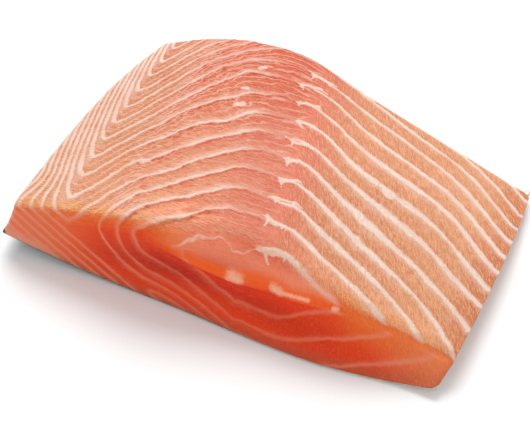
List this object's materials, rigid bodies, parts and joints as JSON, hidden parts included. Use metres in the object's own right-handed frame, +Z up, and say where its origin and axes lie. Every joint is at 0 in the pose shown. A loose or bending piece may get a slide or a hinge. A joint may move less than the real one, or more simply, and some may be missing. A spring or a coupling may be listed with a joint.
{
  "type": "salmon fillet portion",
  "caption": "Raw skin-on salmon fillet portion lying on its skin, with a thick mid-back, a thin belly edge, two cut faces and a flat underside to rest on.",
  "frame": {"origin": "centre of the bounding box at the underside of the skin", "axes": "+X across the fillet from the fish's back to its belly, +Y along the fish away from the cut that faces the viewer, +Z up"},
  "size_m": [0.1622, 0.1142, 0.0326],
  "materials": {
    "flesh": "moist raw fish flesh, orange-pink with cream lines of fat",
    "skin": "wet scaled fish skin, silver grey, darker towards the back"
  },
  "bodies": {
    "root": {"flesh": "flesh", "skin": "skin"}
  },
  "joints": []
}
